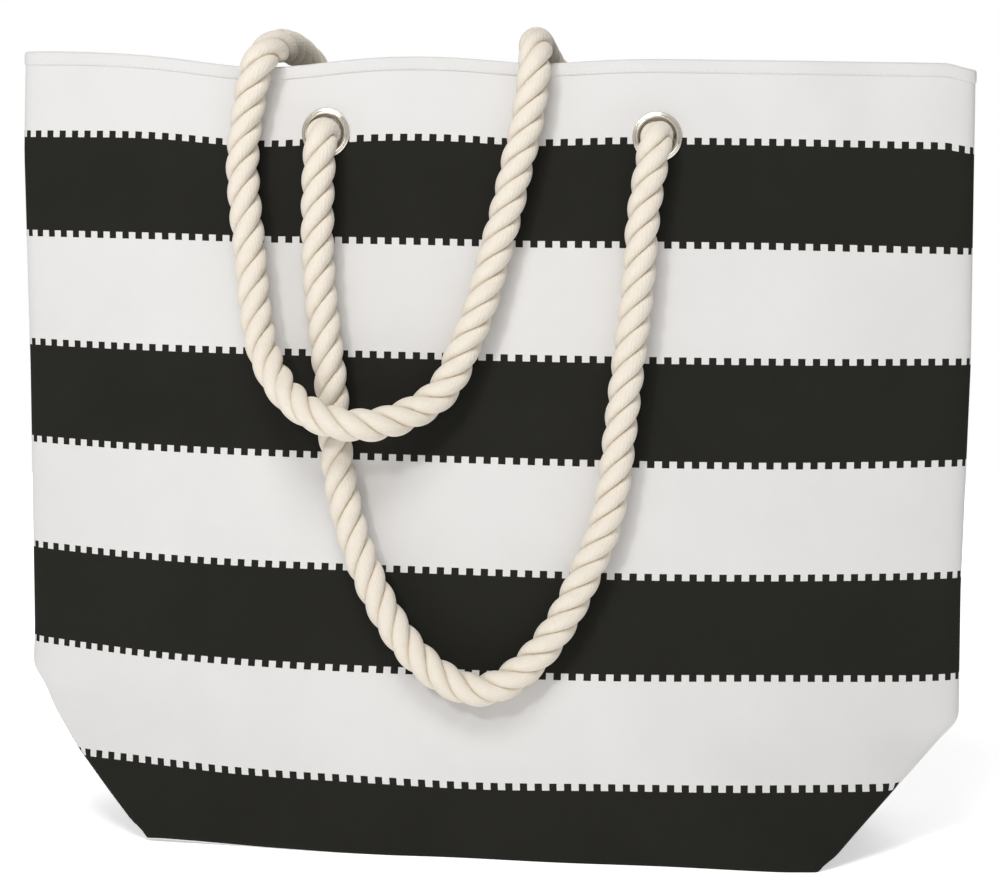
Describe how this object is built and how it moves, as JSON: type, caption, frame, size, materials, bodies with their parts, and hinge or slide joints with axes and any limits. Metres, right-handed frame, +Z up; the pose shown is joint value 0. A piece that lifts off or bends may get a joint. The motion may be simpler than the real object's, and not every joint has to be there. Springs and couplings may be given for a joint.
{
  "type": "beach bag",
  "caption": "Open canvas tote beach bag with a boxed base, printed stripes, metal eyelets and two twisted rope handles that lift.",
  "frame": {"origin": "on the floor, under the middle of the base", "axes": "+Z up, the front faces -Y, +X to the right seen from the front"},
  "size_m": [0.4816, 0.1536, 0.4067],
  "materials": {
    "print_canvas": "matt woven canvas with a printed stripe",
    "base_canvas": "matt woven canvas, black",
    "lining": "plain woven lining",
    "binding": "folded cotton tape, top stitched",
    "nickel": "polished nickel plate",
    "cotton_rope": "three-strand twisted cotton, undyed"
  },
  "bodies": {
    "bag": {"front_panel": "print_canvas", "back_panel": "print_canvas", "base_panel": "base_canvas", "lining_front": "lining", "lining_back": "lining", "lining_base": "lining", "rim_binding_front": "binding", "rim_binding_back": "binding", "eyelet_front_left": "nickel", "eyelet_front_right": "nickel", "eyelet_back_left": "nickel", "eyelet_back_right": "nickel", "washer_front_left": "nickel", "washer_front_right": "nickel", "washer_back_left": "nickel", "washer_back_right": "nickel", "knot_front_left": "cotton_rope", "knot_front_right": "cotton_rope", "knot_back_left": "cotton_rope", "knot_back_right": "cotton_rope"},
    "front_handle": {"front_rope": "cotton_rope"},
    "back_handle_risers": {"back_rope_left_riser": "cotton_rope", "back_rope_right_riser": "cotton_rope"},
    "back_handle": {"back_rope_loop": "cotton_rope"}
  },
  "joints": [
    {"name": "front_handle_lift", "type": "hinge", "parent": "bag", "child": "front_handle", "pos_m": [0, -0.04167, 0.35274], "axis": [-1, 0, 0], "range_deg": [0, 170]},
    {"name": "back_riser_lift", "type": "hinge", "parent": "bag", "child": "back_handle_risers", "pos_m": [0, 0.04167, 0.35274], "axis": [-1, 0, 0], "range_deg": [0, 55]},
    {"name": "back_handle_lift", "type": "hinge", "parent": "back_handle_risers", "child": "back_handle", "pos_m": [0, -0.0385, 0.397], "axis": [-1, 0, 0], "range_deg": [0, 130]}
  ],
  "couplings": [
    {"joint": "front_handle_lift", "follows": "back_handle_lift", "ratio": 1.3},
    {"joint": "back_riser_lift", "follows": "back_handle_lift", "ratio": 0.42}
  ]
}
